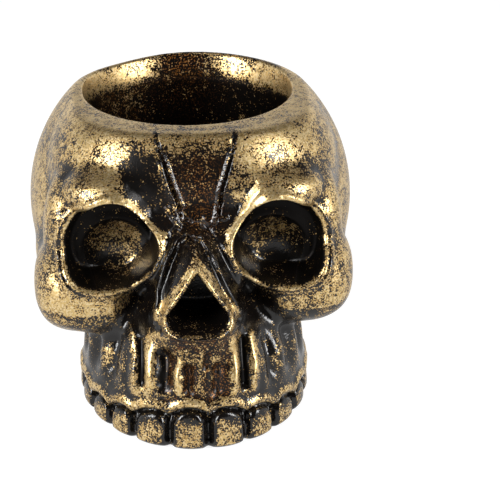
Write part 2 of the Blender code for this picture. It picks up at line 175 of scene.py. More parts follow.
# Strokes of the modelling tool, seen from the front: how deep (a ridge is less than 0), how
# wide, and the points (x, z) in millimetres that the stroke runs through
STROKES = (
    # Cracks that run from the lip down the forehead, and their raised edges
    (0.75, 0.30, ((-7.1, 59), (-6.9, 56.2), (-6.6, 55.0), (-5.6, 53.2), (-4.8, 50.2), (-3.9, 47.6))),
    (0.70, 0.32, ((-3.9, 47.6), (-3.1, 45.2), (-2.7, 43.0))),
    (-0.60, 0.30, ((-5.9, 54.9), (-4.9, 52.9), (-4.0, 49.9), (-3.1, 47.4), (-2.3, 45.2))),
    (-0.25, 0.30, ((-6.4, 53.2), (-5.6, 50.2), (-4.7, 47.4))),
    (0.75, 0.30, ((8.1, 59), (8.0, 56.8), (7.3, 54.0), (6.2, 50.8), (5.3, 48.2), (4.9, 45.4))),
    (0.60, 0.32, ((4.9, 45.4), (4.5, 42.6))),
    (-0.60, 0.30, ((7.2, 55.4), (6.3, 53.1), (5.3, 50.3), (4.5, 48.0), (4.1, 44.8), (3.6, 42.2))),
    (-0.50, 0.30, ((3.5, 42.2), (4.6, 42.7), (6.0, 42.8))),
    # Fullness between the forehead and the brows
    (-0.60, 4.0, ((14.5, 47.2), (20.0, 46.6))),
    (-0.40, 4.0, ((-14.5, 47.6), (-20.5, 47.6))),
    # Furrows between the cracks and the brows
    (0.5, 0.7, ((11.4, 49.2), (9.9, 47.4), (8.3, 45.0))),
    (-0.4, 0.5, ((12.6, 48.6), (10.9, 46.8), (9.4, 44.6))),
    (0.5, 0.8, ((-12.4, 49.0), (-10.2, 47.4), (-8.2, 44.8))),
    # Folds that run down from the brows to the top of the nose, and creases between them
    (-0.60, 0.42, ((-12.6, 46.6), (-10.8, 44.4), (-8.8, 42.3), (-6.9, 40.7), (-5.4, 40.0))),
    (-0.50, 0.40, ((10.2, 45.0), (8.6, 43.3), (7.2, 41.6), (6.2, 40.2))),
    (-0.65, 0.34, ((-5.2, 44.8), (-4.1, 43.1), (-3.1, 41.4))),
    (0.50, 0.30, ((-4.6, 45.2), (-3.8, 43.6), (-3.1, 42.2))),
    (-0.55, 0.30, ((-3.8, 44.4), (-3.4, 42.9), (-2.8, 41.4))),
    (-0.30, 0.50, ((1.1, 43.0), (1.0, 41.9))),
    # Raised bell round the nose, with a furrow on each side of it
    (0.55, 0.50, ((-9.6, 24.6), (-8.5, 31.4), (-6.7, 36.4), (-4.4, 40.6), (-1.4, 42.2))),
    (0.55, 0.50, ((-1.4, 42.2), (1.3, 41.9), (4.2, 38.6), (6.2, 34.4), (8.2, 30.0), (9.8, 24.6))),
    (-0.85, 0.42, ((-8.4, 24.1), (-7.4, 31.2), (-5.7, 36.2), (-3.6, 39.9), (-1.2, 41.0))),
    (-0.85, 0.42, ((-1.2, 41.0), (0.9, 40.6), (3.2, 37.4), (5.0, 33.4), (7.0, 29.4), (8.8, 24.4))),
    (0.80, 0.55, ((-7.4, 23.6), (-6.5, 30.6), (-4.7, 35.4), (-2.9, 38.9), (-1.0, 39.9))),
    (0.80, 0.55, ((-1.0, 39.9), (0.6, 39.6), (2.2, 37.0), (4.0, 33.2), (6.1, 29.0), (7.9, 24.6))),
    # Ridges of the tooth roots, and the hollows between them
    (-0.75, 0.9, ((-12.3, 21.0), (-12.5, 15), (-12.3, 11))),
    (-0.75, 1.2, ((-8.4, 22.0), (-9.3, 17), (-9.0, 11))),
    (-0.55, 0.6, ((-3.5, 18.0), (-4.2, 15.5), (-3.8, 12))),
    (-0.35, 0.6, ((0.3, 19.0), (-0.3, 14))),
    (-0.75, 0.8, ((6.4, 21.0), (7.0, 16), (6.5, 11))),
    (-0.70, 0.8, ((10.2, 20.5), (10.9, 16), (10.5, 11))),
    (0.9, 0.6, ((-10.9, 19.5), (-11.1, 12.5))),
    (1.5, 1.3, ((-6.3, 18.0), (-6.6, 13.5))),
    (1.2, 0.8, ((-2.0, 16.6), (-2.1, 12.4))),
    (1.3, 1.2, ((3.5, 16.0), (3.4, 12.2))),
    (1.4, 0.7, ((8.6, 20.0), (8.8, 12.2))),
    (0.7, 0.6, ((1.6, 19.6), (1.2, 17.2))),
)
STROKE_UNIT = 0.001

# The two cracks, where no gold was brushed
CRACKS = (
    ((-7.1, 59), (-6.9, 56.2), (-6.2, 54.8), (-5.0, 52.6), (-4.3, 49.9), (-3.4, 47.4), (-2.6, 43.6)),
    ((8.1, 59), (8.0, 56.8), (7.0, 54.0), (5.8, 50.6), (4.9, 48.1), (4.4, 45.0), (4.0, 42.4)),
)

# Folds from the brows to the nose that the brush touched
BROW_STREAKS = (
    (0.50, 0.60, ((-12.4, 46.8), (-10.8, 44.4), (-8.8, 42.3), (-6.9, 40.7), (-5.3, 39.9))),
    (0.34, 0.50, ((10.2, 45.0), (8.6, 43.3), (7.2, 41.6), (6.2, 40.4))),
    (0.30, 1.40, ((11.0, 47.6), (8.6, 44.8))),
)

# Roots that the brush ran down, and hollows that it missed, which carry painted shade: how much
# gold more, how wide, and the points (x, z) in millimetres
ROOT_STREAKS = (
    (0.20, 0.9, ((-12.3, 20), (-12.3, 11))),
    (0.42, 1.2, ((-8.6, 23), (-9.5, 18), (-9.5, 12))),
    (0.55, 0.6, ((-3.7, 18.5), (-4.2, 15), (-3.9, 12))),
    (0.30, 0.4, ((0.4, 18.5), (-0.2, 13))),
    (0.25, 0.4, ((2.6, 16), (2.9, 12.5))),
    (0.52, 0.7, ((6.6, 22), (7.1, 17), (6.8, 12))),
    (0.50, 0.8, ((10.4, 22), (11.0, 17), (10.7, 12))),
    (0.26, 1.2, ((-17.0, 15), (-16.2, 11))),
    (0.24, 1.2, ((15.0, 14), (14.4, 11))),
    (-0.80, 1.1, ((-6.6, 19), (-6.8, 13.2))),
    (-0.50, 0.5, ((-10.9, 20), (-11.0, 13))),
    (-0.70, 0.6, ((-2.0, 17), (-2.1, 12.6))),
    (-0.60, 0.8, ((4.6, 17), (4.4, 12.6))),
    (-0.80, 0.7, ((8.7, 20), (8.8, 12.6))),
)

# Dabs where the brush left more gold, or less, and painted highlights: centre and reach in
# millimetres, and how much
BRUSH_AND_HIGHLIGHT_DABS = (
    # These two lay gold where the softboxes' highlights fall on the forehead: painted highlight
    ((-15.0, -23.6, 53.3), (7.0, 10, 4.5), 0.30),
    ((15.7, -25.4, 51.8), (7.0, 10, 4.5), 0.30),
    ((-10.0, -22.0, 54.6), (3.4, 10, 3.0), -0.36),
    ((-27.0, -10.0, 51.0), (6.0, 12, 8.0), 0.12),
    ((-25.0, -20.0, 48.7), (4.0, 10, 3.0), -0.26),
    ((22.0, -24.0, 49.0), (5.0, 10, 2.5), -0.34),
    ((-9.5, -24.0, 48.5), (4.0, 10, 3.5), -0.26),
    ((10.5, -24.0, 49.5), (3.0, 10, 2.5), -0.16),
    ((-27.5, -14.0, 42.0), (3.0, 8, 4.5), -0.22),
    ((29.0, -10.0, 46.0), (3.0, 8, 5.0), -0.22),
    ((-21.5, -26.0, 23.0), (5.5, 9, 4.5), 0.30),
    ((-11.2, -30.0, 22.6), (3.6, 8, 3.0), -0.50),
    ((-20.5, -25.0, 19.6), (5.0, 8, 2.6), 0.34),
    ((21.5, -24.0, 20.4), (4.5, 8, 2.4), 0.20),
    ((12.5, -30.0, 22.5), (4.5, 8, 3.5), -0.55),
    ((16.0, -28.0, 27.0), (4.0, 8, 2.0), -0.12),
    ((-10.5, -39.0, 10.6), (5.0, 9, 2.0), 0.20),
    ((8.8, -39.0, 10.6), (3.2, 9, 1.8), 0.16),
)

# Dark middle of the forehead, which narrows down to the nose: height, left edge and right edge
VALLEY = (
    (0.040, -0.005, 0.005),
    (0.043, -0.008, 0.0070),
    (0.046, -0.0120, 0.0072),
    (0.049, -0.0140, 0.0058),
    (0.052, -0.0136, 0.0062),
    (0.055, -0.0125, 0.0074),
    (0.058, -0.0090, 0.0080),
)

# Black bell round the nose: height in metres, and half its width in millimetres
BELL_HEIGHTS = (0.022, 0.0265, 0.031, 0.036, 0.040, 0.042)
BELL_HALF_WIDTHS = (10.6, 9.6, 8.2, 6.4, 4.2, 1.5)

# Gold by area, where 0 leaves the black bare and 1 covers it
GOLD_ALL_OVER = 0.50
GOLD_AT_MOST = 0.63
GOLD_ON_BRIDGES = 0.66
GOLD_UNDERNEATH = 0.1
GOLD_IN_CUP = 0.06

# The brush feels what stands out of the skin smoothed so many times, by so much
FINE_ROUNDS, FINE_HEIGHT, FINE_GOLD = 12, 0.00012, 0.26
BROAD_ROUNDS, BROAD_HEIGHT, BROAD_GOLD = 90, 0.00050, 0.24

# Flecks: how far the clouds and streaks of gold swing, and how hard a fleck's edge is
CLOUD_SWING = 0.95
STREAK_SWING = 1.5
FLECK_EDGE = 13.0
GOLD_METALLIC = 0.88
# Metallic share that makes the matt black mirror nothing, which paints shade into the hollows
MATT_AND_SHADE_METALLIC = 0.85
BLACK_ROUGHNESS, MATT_ROUGHNESS = 0.14, 0.30
GOLD_ROUGHNESS, PALE_ROUGHNESS = 0.32, 0.08

FLOOR_SIZE = 3.0
ROOM_GLOW = 0.04

# Where the camera looks, what the lamps are aimed at, and where the first of them stands in the
# picture, in pixels
SIGHT = (0, 0, 0.030)
FACE = (0, -0.01, 0.035)
PICTURE_SIZE = 500
PICTURE_PLACE = (190.2, 219.9)
SENSOR_WIDTH = 36

# Softboxes: name, degrees round to the side and up, distance, width, height and share of power
SOFTBOXES = (
    ("softbox_left", -57, 23, 0.60, 0.15, 0.42, 1.14),
    ("softbox_right", 57, 23, 0.60, 0.15, 0.42, 0.96),
)


class SkullShape(bpy.types.PropertyGroup):
    cup_radius: FloatProperty(
        name="Cup radius",
        description="Inside radius of the candle's cup",
        default=0.0210,
        unit="LENGTH",
    )
    cup_depth: FloatProperty(
        name="Cup depth",
        description="From the lip down to the cup's floor",
        default=0.0220,
        unit="LENGTH",
    )
    height: FloatProperty(
        name="Height",
        description="From the base up to the cup's lip",
        default=0.0575,
        unit="LENGTH",
    )
    clay_grain: FloatProperty(
        name="Clay grain",
        description="How finely the first clay is worked",
        default=0.0005,
        unit="LENGTH",
    )
    fine_grain: FloatProperty(
        name="Fine grain",
        description="How finely the carved skin is worked",
        default=0.00032,
        unit="LENGTH",
    )
    facets: IntProperty(
        name="Facets",
        description="The most triangles that the finished casting keeps",
        default=188000,
    )


class SkullPaint(bpy.types.PropertyGroup):
    black: FloatVectorProperty(
        name="Black",
        description="The gloss black under the gold",
        subtype="COLOR",
        default=(0.004, 0.003, 0.0025),
        min=0,
        max=1,
    )
    gold: FloatVectorProperty(
        name="Gold",
        description="The antique gold that is dry-brushed over it",
        subtype="COLOR",
        default=(0.70, 0.49, 0.20),
        min=0,
        max=1,
    )
    thin_gold: FloatVectorProperty(
        name="Thin gold",
        description="The brown that gold turns to where it lies thin",
        subtype="COLOR",
        default=(0.34, 0.19, 0.055),
        min=0,
        max=1,
    )
    pale_gold: FloatVectorProperty(
        name="Pale gold",
        description="The lighter flecks in the gold",
        subtype="COLOR",
        default=(0.86, 0.70, 0.42),
        min=0,
        max=1,
    )
    rust: FloatVectorProperty(
        name="Rust",
        description="The brown wash in the forehead and above the teeth",
        subtype="COLOR",
        default=(0.20, 0.075, 0.014),
        min=0,
        max=1,
    )
    grain: FloatProperty(
        name="Fleck size",
        description="Size of one fleck of gold",
        default=0.00032,
        unit="LENGTH",
    )


class SkullStudio(bpy.types.PropertyGroup):
    distance: FloatProperty(
        name="Camera distance",
        description="From the camera to the middle of the skull",
        default=0.40,
        unit="LENGTH",
    )
    elevation: FloatProperty(
        name="Elevation",
        description="How far above the horizon the camera stands",
        default=math.radians(23.3),
        subtype="ANGLE",
    )
    azimuth: FloatProperty(
        name="Azimuth",
        description="How far round to the side the camera stands",
        default=math.radians(-2),
        subtype="ANGLE",
    )
    lens: FloatProperty(
        name="Lens",
        description="Focal length of the camera, in millimetres",
        default=140.6,
    )
    lamp_power: FloatProperty(
        name="Softbox power",
        description="Power of each softbox, in watts",
        default=3.4,
    )


def deselect():
    if bpy.context.object and bpy.context.object.mode != "OBJECT":
        bpy.ops.object.mode_set(mode="OBJECT")
    bpy.ops.object.select_all(action="DESELECT")


def choose(obj):
    deselect()
    obj.select_set(True)
    bpy.context.view_layer.objects.active = obj


def read_points(obj):
    points = np.empty(len(obj.data.vertices) * 3, np.float32)
    obj.data.vertices.foreach_get("co", points)
    return points.reshape(-1, 3).astype(float)


def write_points(obj, points):
    obj.data.vertices.foreach_set("co", points.astype(np.float32).ravel())
    obj.data.update()


def apply(obj, kind, **settings):
    """Adds a modifier, sets it and applies it."""
    choose(obj)
    modifier = obj.modifiers.new(kind.lower(), kind)
    for name, value in settings.items():
        setattr(modifier, name, value)
    bpy.ops.object.modifier_apply(modifier=modifier.name)


def place_in_mesh(obj):
    choose(obj)
    bpy.ops.object.transform_apply(location=True, rotation=True, scale=True)


def lay_lump(centre, radii, lean, boxiness):
    """A ball of clay pressed to its half sizes. A boxiness over 2 squares it up."""
    deselect()
    bpy.ops.mesh.primitive_ico_sphere_add(
        subdivisions=6, radius=1, location=centre, rotation=(math.radians(lean), 0, 0)
    )
    lump = bpy.context.object
    points = read_points(lump)
    points /= (np.abs(points) ** boxiness).sum(axis=1, keepdims=True) ** (1 / boxiness)
    write_points(lump, points * np.array(radii))
    place_in_mesh(lump)
    return lump


def lay_jaw():
    """An oval drum that narrows a little, and a shoulder on it that leans in to the face."""
    drums = []
    for bottom, top, low_share, high_share in (
        (-BELOW_BASE, JAW_SHOULDER, 1.0, JAW_SHOULDER_SHARE),
        (JAW_SHOULDER, JAW_TOP, JAW_SHOULDER_SHARE, JAW_TOP_SHARE),
    ):
        deselect()
        bpy.ops.mesh.primitive_cone_add(
            vertices=144,
            radius1=low_share,
            radius2=high_share,
            depth=top - bottom,
            location=(0, JAW_CENTRE_Y, (bottom + top) / 2),
            scale=(JAW_HALF_WIDTH, JAW_DEPTH, 1),
        )
        place_in_mesh(bpy.context.object)
        drums.append(bpy.context.object)
    return drums


def join(pieces, name):
    deselect()
    for piece in pieces:
        piece.select_set(True)
    bpy.context.view_layer.objects.active = pieces[0]
    bpy.ops.object.join()
    pieces[0].name = pieces[0].data.name = name
    return pieces[0]


def cut_flat(obj, height, above):
    """Cuts off what lies above or below a height and closes the cut."""
    choose(obj)
    bpy.ops.object.mode_set(mode="EDIT")
    bpy.ops.mesh.select_all(action="SELECT")
    bpy.ops.mesh.bisect(
        plane_co=(0, 0, height),
        plane_no=(0, 0, 1),
        use_fill=True,
        clear_outer=above,
        clear_inner=not above,
        threshold=1e-7,
    )
    bpy.ops.mesh.quads_convert_to_tris()
    bpy.ops.object.mode_set(mode="OBJECT")


def rise(value):
    """0 up to 0, 1 from 1, and smooth between."""
    share = np.clip(value, 0.0, 1.0)
    return share * share * (3.0 - 2.0 * share)


def ridge(distance, width):
    return np.exp(-((distance / width) ** 2))


def line_distance(x, z, corners):
    """How far points lie from a line drawn through corners, seen from the front."""
    nearest = np.full(x.shape, np.inf)
    for (x1, z1), (x2, z2) in zip(corners, corners[1:]):
        along_x, along_z = x2 - x1, z2 - z1
        share = ((x - x1) * along_x + (z - z1) * along_z) / (along_x**2 + along_z**2)
        share = np.clip(share, 0, 1)
        nearest = np.minimum(nearest, np.hypot(x - x1 - share * along_x, z - z1 - share * along_z))
    return nearest


def stroke_distance(points, corners):
    """How far points lie from a stroke whose corners are given in millimetres."""
    corners = [(x * STROKE_UNIT, z * STROKE_UNIT) for x, z in corners]
    return line_distance(points[:, 0], points[:, 2], corners)


def push(points, amount):
    """Moves points outwards, away from the upright line through the middle of the head."""
    reach = np.hypot(points[:, 0], points[:, 1]) + 1e-9
    points[:, 0] += amount * points[:, 0] / reach
    points[:, 1] += amount * points[:, 1] / reach


def eye_edge(x, z, side):
    """How far points lie outside the outline of one eye socket, seen from the front."""
    across = side * x - EYE_OFFSET_X
    up = z - EYE_CENTRE_Z
    power = EYE_SQUARENESS
    around = (
        np.abs(across / EYE_HALF_WIDTH) ** power + np.abs(up / EYE_HALF_HEIGHT) ** power
    ) ** (1 / power)
    rounding = 9
    total = around**rounding
    for reach, way, steep in EYE_CUTS:
        steep = math.radians(steep)
        past = (way * across * math.cos(steep) + up * math.sin(steep)) / reach
        total = total + np.clip(past, 0, None) ** rounding
    whole = total ** (1 / rounding)
    return (whole - 1) * (EYE_HALF_WIDTH + EYE_HALF_HEIGHT) / 2


def nostril_edge(x, z):
    up = z - NOSTRIL_CENTRE_Z
    across = np.abs(x - NOSTRIL_CENTRE_X)
    slope = across * math.cos(NOSTRIL_SIDE_ANGLE) + up * math.sin(NOSTRIL_SIDE_ANGLE)
    rounding = NOSTRIL_ROUNDING
    whole = (
        np.clip(slope / NOSTRIL_SIDE, 0, None) ** rounding
        + np.clip(-up / NOSTRIL_BOTTOM, 0, None) ** rounding
    ) ** (1 / rounding)
    return (whole - 1) * (NOSTRIL_SIDE + NOSTRIL_BOTTOM) / 2


def jaw_place(points):
    """Angle round the jaw, place between two gaps, and height of the gum there."""
    x, y, z = points.T
    angle = np.arctan2(x / JAW_HALF_WIDTH, (JAW_CENTRE_Y - y) / JAW_DEPTH)
    gaps = np.radians(TOOTH_GAPS)
    place = np.interp(angle, gaps, np.arange(len(gaps)))
    # 0 in the middle of a tooth and 1 in the gap beside it
    aside = 1 - 2 * np.abs(place - np.round(place))
    sideways = rise(np.abs(angle) / math.radians(65))
    gum = GUM_HEIGHT + sideways * (GUM_HEIGHT_AT_SIDE - GUM_HEIGHT)
    gum = gum + GUM_SCALLOP * (0.5 - aside**2)
    return angle, aside, gum


def on_jaw(points, angle):
    x, y, z = points.T
    radius = np.hypot(x / JAW_HALF_WIDTH, (y - JAW_CENTRE_Y) / JAW_DEPTH)
    return (radius > 0.80) & (z < JAW_TOP) & (np.abs(angle) < JAW_END)


def carve_head(points):
    front = points[:, 1] < FACE_Y
    x, y, z = points.T
    off = np.hypot(np.abs(x) - CHEEK_HOLLOW_AT[0], z - CHEEK_HOLLOW_AT[1])
    push(points, np.where(front, -CHEEK_HOLLOW_DEPTH * ridge(off, CHEEK_HOLLOW_RADIUS), 0))
    off = np.hypot(x - LIP_SAG_AT[0], y - LIP_SAG_AT[1])
    z -= LIP_SAG * ridge(off, LIP_SAG_REACH) * rise((z - 0.048) / 0.008)


def carve_teeth(points):
    """Cushions the teeth, raises the gum over them and hollows the jaw between their roots."""
    z = points[:, 2]
    angle, aside, gum = jaw_place(points)
    below = rise((gum - z) / 0.0008 + 0.5)
    tall = np.clip((z - 0.45 * gum) / (0.55 * gum), 0, 1.5)
    out = (aside**TOOTH_ROUNDING + tall**TOOTH_ROUNDING) ** (1 / TOOTH_ROUNDING)
    low = 0.45 + 0.55 * rise(z / 0.0022)
    cushion = (TOOTH_GAP_DEPTH * low * rise((out - 0.70) / 0.32) - 0.0003 + 0.0005 * out**2) * below
    tip = 0.0010 * np.clip(1 - z / TOOTH_TIP, 0, 2) ** 2
    band = GUM_RISE * ridge(z - gum - 0.0013, 0.0009)
    root = (z - ROOT_CENTRE_Z) / ROOT_HALF_HEIGHT
    hollow = ROOT_DEPTH * np.exp(-(((1 - aside) / 0.55) ** 2) - root**4)
    hollow = hollow * rise((np.abs(angle) - ROOTS_FROM) / math.radians(8))
    fade = rise((TEETH_END - np.abs(angle)) / math.radians(16))
    inward = np.where(on_jaw(points, angle), (cushion + tip + hollow - band) * fade, 0)
    points[:, 0] -= inward * np.sin(angle)
    points[:, 1] += inward * np.cos(angle)


def carve_nose(points):
    front = points[:, 1] < NOSE_Y
    x, y, z = points.T
    off = line_distance(np.abs(x), z, NOSE_CHANNEL)
    y += np.where(front, NOSE_CHANNEL_DEPTH * ridge(off, NOSE_CHANNEL_WIDTH), 0)
    edge = nostril_edge(x, z)
    y -= np.where(front, NOSTRIL_RIM_RISE * ridge(edge - NOSTRIL_RIM_WIDTH, NOSTRIL_RIM_WIDTH), 0)
    share = np.where(front, rise(-edge / NOSTRIL_WALL), 0)
    y += share * (NOSTRIL_FLOOR_Y - y)


def carve_eyes(points):
    front = points[:, 1] < FACE_Y
    for side in (-1, 1):
        x, y, z = points.T
        edge = eye_edge(x, z, side)
        out = np.hypot(side * x - EYE_BOWL_CENTRE[0], z - EYE_BOWL_CENTRE[1])
        bowl = EYE_FLOOR_Y - EYE_BOWL_DEPTH * np.minimum(out / EYE_BOWL_RADIUS, 1) ** 1.8
        # The bowl's edge stands out at its lower inner side and fades above
        down = EYE_BOWL_CENTRE[0] - side * x + EYE_BOWL_CENTRE[1] - z
        crisp = rise(0.45 + 0.7 * down / EYE_BOWL_RADIUS)
        bowl += EYE_MOAT * (0.35 + 0.65 * crisp) * rise((out - EYE_BOWL_RADIUS) / 0.0022)
        share = np.where(front, rise(-edge / EYE_WALL), 0)
        y += share * (np.maximum(bowl, y) - y)
        rim = EYE_RIM_RISE * ridge(edge - EYE_RIM_WIDTH, EYE_RIM_WIDTH)
        push(points, np.where(front, rim, 0))


def flare_mouth(points, shape):
    """Opens the top of the cup a little, like the draft of a mould."""
    across = points[:, 0]
    along = points[:, 1] - CUP_CENTRE_Y
    reach = np.hypot(across, along)
    inside = 1 - rise((reach - shape.cup_radius - 0.0006) / 0.0012)
    share = np.clip(1 - (shape.height - points[:, 2]) / MOUTH_DEPTH, 0, 1)
    behind = rise((along / shape.cup_radius + 0.1) / 0.9)
    out = MOUTH_FLARE * behind * share**2 * inside * rise(reach / 0.018 - 0.2)
    points[:, 0] += out * across / (reach + 1e-9)
    points[:, 1] += out * along / (reach + 1e-9)


def low_and_outer(x, z, side):
    """How far points lie in the lower half and on the outer side of an eye socket."""
    low = rise(0.5 - (z - EYE_CENTRE_Z) / 0.004)
    outer = rise((side * x - EYE_OFFSET_X - 0.004) / 0.004)
    return low, outer


def carve_rims(points, front):
    """Sharpens the edges of the eye sockets and of the nose opening."""
    for side in (-1, 1):
        edge = eye_edge(points[:, 0], points[:, 2], side)
        low, outer = low_and_outer(points[:, 0], points[:, 2], side)
        line = (0.00034 - 0.00018 * np.maximum(low, outer)) * ridge(edge - 0.0003, 0.00035)
        line -= 0.00036 * np.maximum(0.7 * low, outer) * ridge(edge - 0.0011, 0.00030)
        push(points, np.where(front, line, 0))
    edge = nostril_edge(points[:, 0], points[:, 2])
    line = 0.00045 * ridge(edge - 0.0005, 0.0004) - 0.00025 * ridge(edge - 0.0014, 0.0004)
    push(points, np.where(front & (points[:, 1] < -0.027), line, 0))


def carve_strokes(points):
    from_cup = np.hypot(points[:, 0], points[:, 1] - CUP_CENTRE_Y)
    front = (points[:, 1] < FACE_Y) & ((from_cup > CUP_OUTSIDE) | (points[:, 2] < CUP_BELOW))
    carve_rims(points, front)
    for depth, width, corners in STROKES:
        off = stroke_distance(points, corners)
        push(points, np.where(front, -depth * STROKE_UNIT * ridge(off, width * STROKE_UNIT), 0))


def thin_out(obj, facets):
    triangles = sum(len(face.vertices) - 2 for face in obj.data.polygons)
    ratio = min(1.0, facets / triangles)
    apply(obj, "DECIMATE", ratio=ratio, use_collapse_triangulate=True)


def fit_in_box(obj):
    """Scales the casting by the hair's breadth that keeps it inside its frame."""
    points = read_points(obj)
    share = 1.0
    for axis in range(3):
        for limit, reach in (
            (CAD_BOX[0][axis], points[:, axis].min()),
            (CAD_BOX[1][axis], points[:, axis].max()),
        ):
            if abs(reach) > 0.001:
                share = min(share, limit / reach)
    choose(obj)
    bpy.ops.transform.resize(value=(share, share, share), center_override=(0, 0, 0))
    place_in_mesh(obj)


def cup_cutter(shape):
    """A plug: the cup's floor with its rounded corner, its wall and the flare at the lip."""
    floor = shape.height - shape.cup_depth
    steps = 6
    outline = [(shape.cup_radius + LIP_ROUNDING, shape.height + BELOW_BASE)]
    for step in range(steps + 1):
        turn = math.pi / 2 * (1 - step / steps)
        outline.append(
            (
                shape.cup_radius + LIP_ROUNDING * (1 - math.cos(turn)),
                shape.height - LIP_ROUNDING * (1 - math.sin(turn)),
            )
        )
    for step in range(steps + 1):
        turn = math.pi / 2 * (1 - step / steps)
        outline.append(
            (
                shape.cup_radius - CUP_CORNER * (1 - math.sin(turn)),
                floor + CUP_CORNER * (1 - math.cos(turn)),
            )
        )
    deselect()
    bpy.ops.mesh.primitive_circle_add(
        vertices=144,
        radius=outline[0][0],
        fill_type="NGON",
        location=(0, CUP_CENTRE_Y, outline[0][1]),
    )
    cutter = bpy.context.object
    bpy.ops.object.mode_set(mode="EDIT")
    bpy.ops.mesh.select_all(action="SELECT")
    for (radius, height), (next_radius, next_height) in zip(outline, outline[1:]):
        bpy.ops.mesh.extrude_region_move(
            TRANSFORM_OT_translate={"value": (0, 0, next_height - height)}
        )
        share = next_radius / radius
        bpy.ops.transform.resize(
            value=(share, share, 1), center_override=(0, CUP_CENTRE_Y, next_height)
        )
    bpy.ops.mesh.select_all(action="SELECT")
    bpy.ops.mesh.normals_make_consistent(inside=False)
    bpy.ops.object.mode_set(mode="OBJECT")
    place_in_mesh(cutter)
    return cutter


def bore_cup(skull, shape):
    cutter = cup_cutter(shape)
    apply(skull, "BOOLEAN", operation="DIFFERENCE", solver="EXACT", object=cutter)
    bpy.data.objects.remove(cutter)


def neighbours_mean(values, edges, counts):
    """The mean of each point's neighbours."""
    total = np.empty_like(values)
    for column in range(values.shape[1]):
        column_values = values[:, column]
        total[:, column] = np.bincount(
            edges[:, 0], column_values[edges[:, 1]], len(values)
        ) + np.bincount(edges[:, 1], column_values[edges[:, 0]], len(values))
    return total / counts[:, None]


def edges_of(obj):
    edges = np.empty(len(obj.data.edges) * 2, np.int32)
    obj.data.edges.foreach_get("vertices", edges)
    edges = edges.reshape(-1, 2)
    counts = np.bincount(edges.ravel(), minlength=len(obj.data.vertices)).astype(float)
    return edges, np.maximum(counts, 1)


def height_over_surroundings(obj, points, rounds):
    """How far each point stands out of the skin smoothed that many times."""
    normals = np.empty(len(points) * 3, np.float32)
    obj.data.vertices.foreach_get("normal", normals)
    edges, counts = edges_of(obj)
    smooth = points.copy()
    for _ in range(rounds):
        smooth = 0.5 * smooth + 0.5 * neighbours_mean(smooth, edges, counts)
    return ((points - smooth) * normals.reshape(-1, 3)).sum(axis=1)


def dab(points, centre, radii):
    """1 in the middle of a brush dab, 0 well outside it."""
    off = (points - np.array(centre)) / np.array(radii)
    return np.exp(-(off**2).sum(axis=1))


class Masks:
    """How much gold, brown wash and matt black (painted shade in hollows) each point of the skin
    carries.
    """

    def __init__(self, count):
        self.gold = np.full(count, GOLD_ALL_OVER)
        self.wash = np.zeros(count)
        self.matt_and_shade = np.zeros(count)

    # Raises the matt black that mirrors nothing, which is painted shade in hollows
    def dull(self, share):
        self.matt_and_shade = np.maximum(self.matt_and_shade, share)


def paint_head(masks, skull, points, shape):
    """Gilds the lip, the dabs and what stands out, and leaves the hollows bare."""
    x, y, z = points.T
    from_cup = np.hypot(x, y - CUP_CENTRE_Y)
    near_lip = ridge(np.maximum(from_cup - 0.0235, 0), 0.004)
    masks.gold += 0.20 * ridge(z - shape.height, 0.0035) * near_lip
    # Two of the dabs paint the forehead's highlights in gold
    for centre, radii, more in BRUSH_AND_HIGHLIGHT_DABS:
        centre = [value * STROKE_UNIT for value in centre]
        radii = [value * STROKE_UNIT for value in radii]
        masks.gold += more * dab(points, centre, radii)
    fine = height_over_surroundings(skull, points, FINE_ROUNDS)
    masks.gold += np.clip(fine / FINE_HEIGHT, -1.5, 1) * FINE_GOLD
    broad = height_over_surroundings(skull, points, BROAD_ROUNDS)
    masks.gold += np.clip(broad / BROAD_HEIGHT, -1.6, 1.0) * BROAD_GOLD


def paint_forehead(masks, points, shape):
    """Leaves the middle of the forehead dark, with a brown wash, and its cracks bare."""
    x, y, z = points.T
    front = y < FACE_Y
    heights, left, right = zip(*VALLEY)
    left = np.interp(z, heights, left)
    right = np.interp(z, heights, right)
    valley = rise((x - left) / 0.0045 + 0.5) * rise((right - x) / 0.0030 + 0.5)
    valley = valley * front * rise((z - 0.036) / 0.004)
    masks.gold -= (0.16 + 0.44 * rise((0.0560 - z) / 0.005)) * valley
    masks.wash += 0.9 * dab(points, (0.0008, -0.026, 0.0480), (0.0040, 0.02, 0.0065)) * valley

    off = np.minimum.reduce([stroke_distance(points, corners) for corners in CRACKS])
    masks.gold -= 0.55 * ridge(off, 0.0009) * front
    # Away from the cracks, the valley's black is matt and mirrors nothing, so it renders darker
    masks.dull(0.7 * valley * (1 - ridge(off, 0.0014)) * rise((z - 0.0425) / 0.002))
    masks.gold = np.maximum(masks.gold, 0.10 * valley)

    # Some black shows through the gold everywhere but on the left cheek
    most = GOLD_AT_MOST + 0.10 * rise((shape.height - 0.004 - z) / -0.003)
    cheek = dab(points, (-0.0235, -0.022, 0.0225), (0.0075, 0.014, 0.0055))
    masks.gold = np.minimum(masks.gold + 0.10 * cheek, most + 0.38 * cheek)


